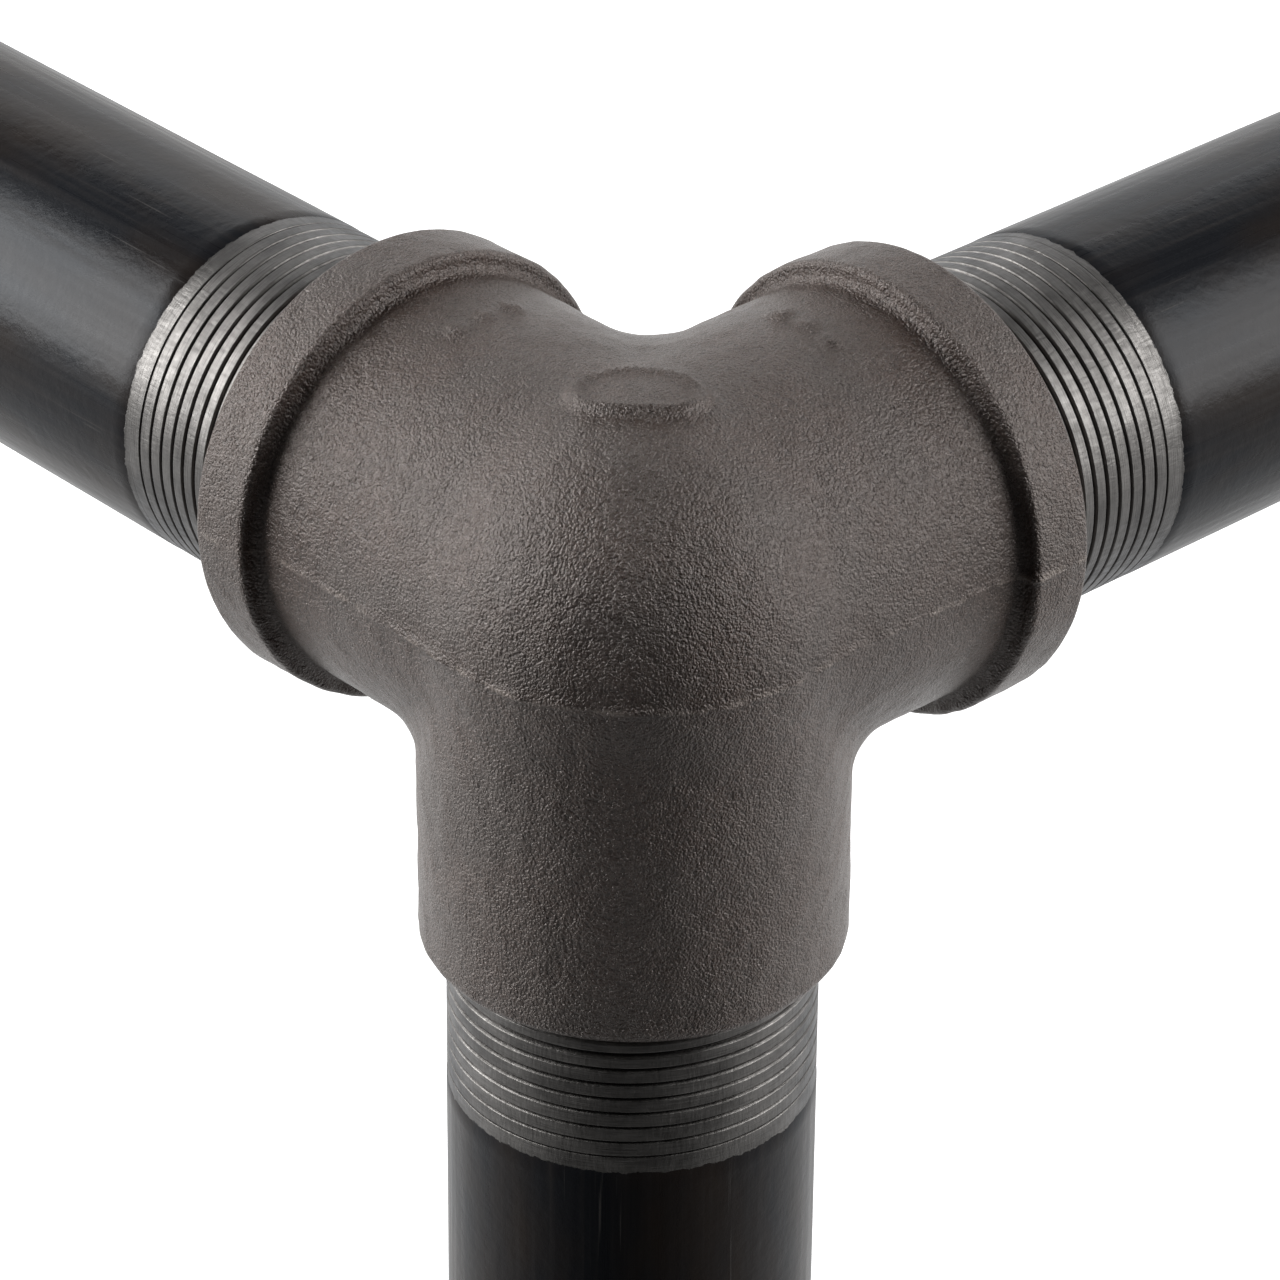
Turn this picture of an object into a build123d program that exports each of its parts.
from build123d import *
import os

# Side-outlet elbow for 1-1/2 in steel pipe, class 150 malleable iron, with a pipe nipple
# screwed into each of its three mouths. Millimetres.
# Origin: where the three mouth axes meet. Right arm +X, left arm +Y, side outlet (drop) -Z.
# Threads are solids at their pitch diameter, pipe and mouth alike.

# ---- taper pipe thread, 1-1/2 in, 11.5 threads per inch
INCH = 25.4
THREAD_PITCH = INCH / 11.5
THREAD_TAPER = 1 / 16  # on the diameter
HAND_TIGHT_LENGTH = 10.67  # how far a pipe end reaches into the mouth
THREAD_CLEARANCE = 0.25  # radial, between the pipe's thread and the mouth's
FADE_TURNS = 3  # the last turns, where the thread runs out of the pipe's surface
STOCK_THREAD_LENGTH = 26.0  # thread on a nipple's far end
# The pitch diameter at a pipe's end is the pipe's diameter D less (0.05 D + 1.1 in) times the
# pitch in inches.
PITCH_DIA_SHARE = 0.05
PITCH_DIA_EXTRA = 1.1 * INCH

# ---- steel pipe nipples
PIPE_OD = 48.26
PIPE_WALL = 3.68
PIPE_LENGTH = 152.4
PIPE_BEVEL = 0.6  # deburred edges of the cut ends

# ---- cast body
CENTRE_TO_FACE = 49.3
MOUTH_THREAD_LENGTH = 17.8
CAST_WALL = 3.7  # round the passage, in the arms
HEEL_RISE = 0.8  # by which the ball at the elbow's back stands out from the arms
PASSAGE_ROOM = 0.17  # radial, by which the cored passage is wider than the pipe
CROTCH_FILLET = 8.0
CROTCH_FILLET_SHARE = 0.7  # of the room beside the crotch, which the fillet can't outgrow
BAND_HEIGHT = 2.8  # above the arm
BAND_WIDTH = 9.35
BAND_EDGE = 0.9  # rounding of the band's rims
BAND_ROOT_FILLET = 1.6
DROP_SETBACK = 0.4  # by which the side outlet is slimmer than the arms, in radius
DROP_EDGE = 1.4  # rounding of the plain mouth of the side outlet
COUNTERSINK_WIDTH = 1.15  # radial width of the 45 degree lead-in at each mouth
PAD_LENGTH = 18.0  # plain oval pad on top of the elbow, across the corner
PAD_WIDTH = 11.0
PAD_RISE = 0.6  # above the ball
PAD_TURN = -45.0  # degrees about Z, from the right arm

# ---- pipe compound bead in each mouth's lead-in
BEAD_CLEARANCE = 0.12

# ---- where things are: name, axis out of the mouth, thread length on the pipe's inner end
MOUTHS = {
    "right": ((1, 0, 0), 34.2),
    "left": ((0, 1, 0), 32.7),
    "drop": ((0, 0, -1), 31.7),
}

PIPE_RADIUS = PIPE_OD / 2
PIPE_BORE_RADIUS = PIPE_RADIUS - PIPE_WALL
PITCH_DIA_CUT = (PITCH_DIA_SHARE * PIPE_OD + PITCH_DIA_EXTRA) * THREAD_PITCH / INCH
PITCH_DIA_AT_END = PIPE_OD - PITCH_DIA_CUT
PIPE_START = CENTRE_TO_FACE - HAND_TIGHT_LENGTH  # pipe's inner end, along its mouth's axis
CAVITY_RADIUS = PIPE_RADIUS + PASSAGE_ROOM
ARM_RADIUS = CAVITY_RADIUS + CAST_WALL
HEEL_RADIUS = ARM_RADIUS + HEEL_RISE
DROP_RADIUS = ARM_RADIUS - DROP_SETBACK
BAND_RADIUS = ARM_RADIUS + BAND_HEIGHT
CROTCH_ROOM = CENTRE_TO_FACE - BAND_WIDTH - ARM_RADIUS  # from the crotch's corner to the bands
BEAD_HEIGHT = COUNTERSINK_WIDTH - 2 * BEAD_CLEARANCE


def pitch_radius(x):
    """Radius at the middle of the pipe's thread, x along the pipe from its end."""
    return (PITCH_DIA_AT_END + x * THREAD_TAPER) / 2


def mouth_radius(x):
    """Radius at the middle of the mouth's thread, at the same place."""
    return pitch_radius(x) + THREAD_CLEARANCE


def threaded_end(length):
    """(radius, z) corners of a pipe's outside from its end at z = 0 to where its thread has run out."""
    full_length = length - FADE_TURNS * THREAD_PITCH
    return [
        (pitch_radius(PIPE_BEVEL) - PIPE_BEVEL, 0),
        (pitch_radius(PIPE_BEVEL), PIPE_BEVEL),
        (pitch_radius(full_length), full_length),
        (PIPE_RADIUS, length),
    ]


def pipe(thread_length):
    """Nipple along +Z from z = 0, with the stock thread on its far end."""
    far_end = [(r, PIPE_LENGTH - z) for r, z in reversed(threaded_end(STOCK_THREAD_LENGTH))]
    bore = [
        (PIPE_BORE_RADIUS + PIPE_BEVEL, PIPE_LENGTH),
        (PIPE_BORE_RADIUS, PIPE_LENGTH - PIPE_BEVEL),
        (PIPE_BORE_RADIUS, PIPE_BEVEL),
        (PIPE_BORE_RADIUS + PIPE_BEVEL, 0),
    ]
    profile = Plane.XZ * Polygon(*threaded_end(thread_length), *far_end, *bore, align=None)
    return revolve(profile, Axis.Z)


def countersink_radius():
    """Radius of the lead-in at the face of a mouth."""
    return PIPE_RADIUS + COUNTERSINK_WIDTH


def passage():
    """Cored passage, tapered thread bore and lead-in of one mouth, along +Z from the origin."""
    x_inside = HAND_TIGHT_LENGTH - MOUTH_THREAD_LENGTH
    thread_start = CENTRE_TO_FACE - MOUTH_THREAD_LENGTH
    step = CAVITY_RADIUS - mouth_radius(x_inside)
    lead_in = countersink_radius() - mouth_radius(HAND_TIGHT_LENGTH)
    profile = Plane.XZ * Polygon(
        (0, 0),
        (CAVITY_RADIUS, 0),
        (CAVITY_RADIUS, thread_start - step),
        (mouth_radius(x_inside), thread_start),
        (mouth_radius(HAND_TIGHT_LENGTH - lead_in), CENTRE_TO_FACE - lead_in),
        (countersink_radius(), CENTRE_TO_FACE),
        (0, CENTRE_TO_FACE),
        align=None,
    )
    return revolve(profile, Axis.Z)


def banded_arm():
    """Outside of an arm with the collar band round its mouth, along +Z from the origin."""
    shoulder = CENTRE_TO_FACE - BAND_WIDTH
    with BuildPart() as arm:
        with BuildSketch(Plane.XZ):
            Polygon(
                (0, 0),
                (ARM_RADIUS, 0),
                (ARM_RADIUS, shoulder),
                (BAND_RADIUS, shoulder),
                (BAND_RADIUS, CENTRE_TO_FACE),
                (0, CENTRE_TO_FACE),
                align=None,
            )
        revolve(axis=Axis.Z)
        rims = arm.edges().filter_by(lambda e: on_circle(e, BAND_RADIUS))
        fillet(rims, BAND_EDGE)
        root = arm.edges().filter_by(lambda e: on_circle(e, ARM_RADIUS, shoulder))
        fillet(root, BAND_ROOT_FILLET)
    return arm.part


def on_circle(edge, radius, z=None):
    """Is the edge a full circle of this radius, and at this height if one is given?"""
    if edge.geom_type != GeomType.CIRCLE or abs(edge.radius - radius) > 1e-6:
        return False
    return z is None or abs(edge.center().Z - z) < 1e-6


def plain_arm():
    """Outside of the side outlet, which has no band, along +Z from the origin."""
    arm = Cylinder(DROP_RADIUS, CENTRE_TO_FACE, align=(Align.CENTER, Align.CENTER, Align.MIN))
    rim = arm.edges().filter_by(lambda e: on_circle(e, DROP_RADIUS, CENTRE_TO_FACE))
    return fillet(rim, DROP_EDGE)


def elbow():
    """The casting: ball heel, two banded arms, plain side outlet, three threaded mouths."""
    planes = {name: Plane(origin=(0, 0, 0), z_dir=axis) for name, (axis, _) in MOUTHS.items()}
    body = Sphere(HEEL_RADIUS)
    for name, plane in planes.items():
        radius = DROP_RADIUS if name == "drop" else ARM_RADIUS
        short = CENTRE_TO_FACE - BAND_WIDTH
        body += plane * Cylinder(radius, short, align=(Align.CENTER, Align.CENTER, Align.MIN))
    crotches = [e for e in body.edges() if e.geom_type not in (GeomType.CIRCLE, GeomType.LINE)]
    body = fillet(crotches, min(CROTCH_FILLET, CROTCH_FILLET_SHARE * CROTCH_ROOM))
    for name, plane in planes.items():
        body += plane * (plain_arm() if name == "drop" else banded_arm())
    body += foundry_pad()
    body -= Sphere(CAVITY_RADIUS)
    for plane in planes.values():
        body -= plane * passage()
    return body


def foundry_pad():
    """Plain oval pad that follows the ball, on top of the elbow."""
    oval = Rot(0, 0, PAD_TURN) * Ellipse(PAD_LENGTH / 2, PAD_WIDTH / 2)
    return extrude(oval, HEEL_RADIUS + 2 * PAD_RISE) & Sphere(HEEL_RADIUS + PAD_RISE)


def compound_bead():
    """Ring of pipe compound in a mouth's lead-in, round the pipe, along +Z."""
    inside = PIPE_RADIUS + BEAD_CLEARANCE
    face = CENTRE_TO_FACE
    profile = Plane.XZ * Polygon(
        (inside, face - BEAD_HEIGHT),
        (inside + BEAD_HEIGHT, face),
        (inside + BEAD_HEIGHT / 2, face + BEAD_HEIGHT / 3),
        (inside, face + BEAD_HEIGHT / 3),
        align=None,
    )
    return revolve(profile, Axis.Z)


def as_solid(shape):
    """The one solid of a node, so that a piece that fell apart is never written."""
    solids = shape.solids()
    if len(solids) != 1:
        raise ValueError(f"expected one solid, got {len(solids)}")
    return solids[0]


def build():
    nodes = {"side_outlet_elbow": elbow()}
    for name, (axis, thread_length) in MOUTHS.items():
        plane = Plane(origin=(0, 0, 0), z_dir=axis)
        nodes[f"{name}_pipe"] = plane * (Pos(0, 0, PIPE_START) * pipe(thread_length))
        nodes[f"{name}_compound_bead"] = plane * compound_bead()
    return nodes


os.makedirs("parts", exist_ok=True)
for node_name, shape in build().items():
    export_step(as_solid(shape), f"parts/{node_name}.step")
    print(node_name, "volume", round(shape.volume, 1))
